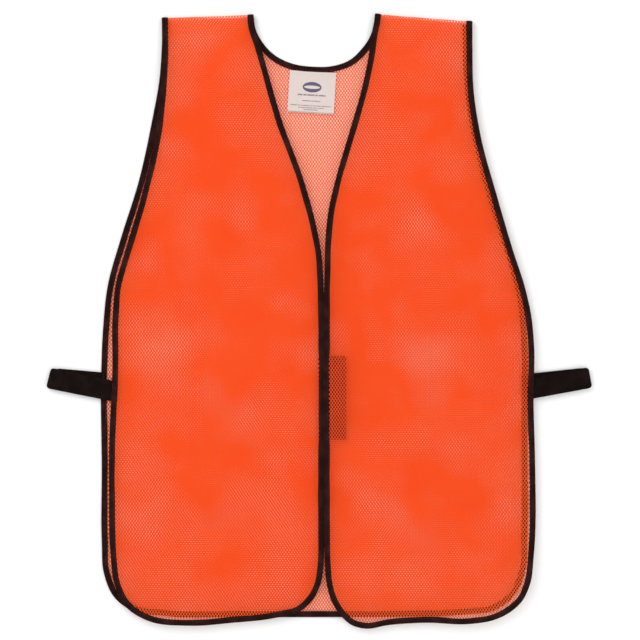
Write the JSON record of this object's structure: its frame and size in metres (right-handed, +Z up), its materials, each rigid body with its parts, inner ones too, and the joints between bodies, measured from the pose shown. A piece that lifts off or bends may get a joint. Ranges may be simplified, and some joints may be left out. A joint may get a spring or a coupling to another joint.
{
  "type": "safety vest",
  "caption": "Sleeveless blaze orange mesh safety vest lying flat, bound in black, with elastic side straps and a hook-and-loop front closure.",
  "frame": {"origin": "under the middle of the vest, on the surface that the back lies on, with the side straps counted in the width", "axes": "+Z up from the surface, +Y towards the neck, +X towards the wearer's left side"},
  "size_m": [0.6667, 0.7506, 0.0082],
  "materials": {
    "mesh_cloth": "open knitted mesh, fluorescent orange, matt",
    "binding": "folded woven tape, matt",
    "elastic": "ribbed woven elastic, matt",
    "hook_tape": "hook tape, matt",
    "loop_tape": "napped loop tape, matt",
    "label_cloth": "woven satin label, semi-matt",
    "thread": "sewing thread"
  },
  "bodies": {
    "back": {"back_panel": "mesh_cloth", "back_neck_binding": "binding", "back_right_armhole_binding": "binding", "back_left_armhole_binding": "binding", "back_right_side_binding": "binding", "back_left_side_binding": "binding", "back_hem_binding": "binding", "right_strap_back_end": "elastic", "left_strap_back_end": "elastic", "right_strap_back_bartack": "thread", "left_strap_back_bartack": "thread", "label_seam": "label_cloth"},
    "label": {"care_label": "label_cloth"},
    "right_front": {"right_front_panel": "mesh_cloth", "right_shoulder_fold": "mesh_cloth", "right_shoulder_fold_binding": "binding", "right_armhole_binding": "binding", "right_side_binding": "binding", "right_hem_binding": "binding", "right_neck_binding": "binding", "right_strap_front_end": "elastic", "right_strap_front_bartack": "thread"},
    "right_flap": {"right_flap_panel": "mesh_cloth", "right_flap_neck_binding": "binding", "right_flap_center_binding": "binding", "right_flap_hem_binding": "binding", "loop_tab": "loop_tape", "loop_tab_stitching": "thread"},
    "left_front": {"left_front_panel": "mesh_cloth", "left_shoulder_fold": "mesh_cloth", "left_shoulder_fold_binding": "binding", "left_armhole_binding": "binding", "left_side_binding": "binding", "left_hem_binding": "binding", "left_neck_binding": "binding", "left_strap_front_end": "elastic", "left_strap_front_bartack": "thread"},
    "left_flap": {"left_flap_panel": "mesh_cloth", "left_flap_neck_binding": "binding", "left_flap_center_binding": "binding", "left_flap_hem_binding": "binding", "hook_patch": "hook_tape", "hook_patch_stitching": "thread"},
    "right_strap_lower": {"right_strap_back_half": "elastic"},
    "right_strap_upper": {"right_strap_front_half": "elastic"},
    "left_strap_lower": {"left_strap_back_half": "elastic"},
    "left_strap_upper": {"left_strap_front_half": "elastic"}
  },
  "joints": [
    {"name": "left_front_lift", "type": "hinge", "parent": "back", "child": "left_front", "pos_m": [0.0682, 0.3712, 0.0041], "axis": [-0.9969, 0.078, 0], "range_deg": [0, 12]},
    {"name": "right_front_lift", "type": "hinge", "parent": "back", "child": "right_front", "pos_m": [-0.0795, 0.3702, 0.0041], "axis": [-0.9994, -0.0346, 0], "range_deg": [0, 12]},
    {"name": "left_front_open", "type": "hinge", "parent": "left_front", "child": "left_flap", "pos_m": [0.0633, 0.3, 0.0084], "axis": [-0.2218, 0.9751, 0], "range_deg": [0, 165]},
    {"name": "right_front_open", "type": "hinge", "parent": "right_front", "child": "right_flap", "pos_m": [-0.0697, 0.3, 0.0084], "axis": [-0.0677, -0.9977, 0], "range_deg": [0, 141]},
    {"name": "label_lift", "type": "hinge", "parent": "back", "child": "label", "pos_m": [-0.00766, 0.2999, 0.0019], "axis": [-0.9981, 0.061, 0], "range_deg": [0, 150]},
    {"name": "right_strap_swing", "type": "hinge", "parent": "back", "child": "right_strap_lower", "pos_m": [-0.267, -0.0755, 0.0026], "axis": [0.1049, 0.9945, 0], "range_deg": [0, 44]},
    {"name": "right_strap_unfold", "type": "hinge", "parent": "right_strap_lower", "child": "right_strap_upper", "pos_m": [-0.3282, -0.07, 0.0041], "axis": [-0.2419, -0.9703, 0], "range_deg": [0, 85.5]},
    {"name": "left_strap_swing", "type": "hinge", "parent": "back", "child": "left_strap_lower", "pos_m": [0.2549, -0.0775, 0.0026], "axis": [0.0106, -0.9999, 0], "range_deg": [0, 38]},
    {"name": "left_strap_unfold", "type": "hinge", "parent": "left_strap_lower", "child": "left_strap_upper", "pos_m": [0.329, -0.0695, 0.0041], "axis": [-0.1822, 0.9833, 0], "range_deg": [0, 80]}
  ],
  "couplings": [
    {"joint": "right_front_lift", "follows": "left_front_lift", "ratio": 1},
    {"joint": "right_strap_swing", "follows": "left_front_lift", "ratio": 3.61},
    {"joint": "right_strap_unfold", "follows": "left_front_lift", "ratio": 7.05},
    {"joint": "left_strap_swing", "follows": "left_front_lift", "ratio": 3.12},
    {"joint": "left_strap_unfold", "follows": "left_front_lift", "ratio": 6.6},
    {"joint": "right_front_open", "follows": "left_front_open", "ratio": 0.85}
  ]
}
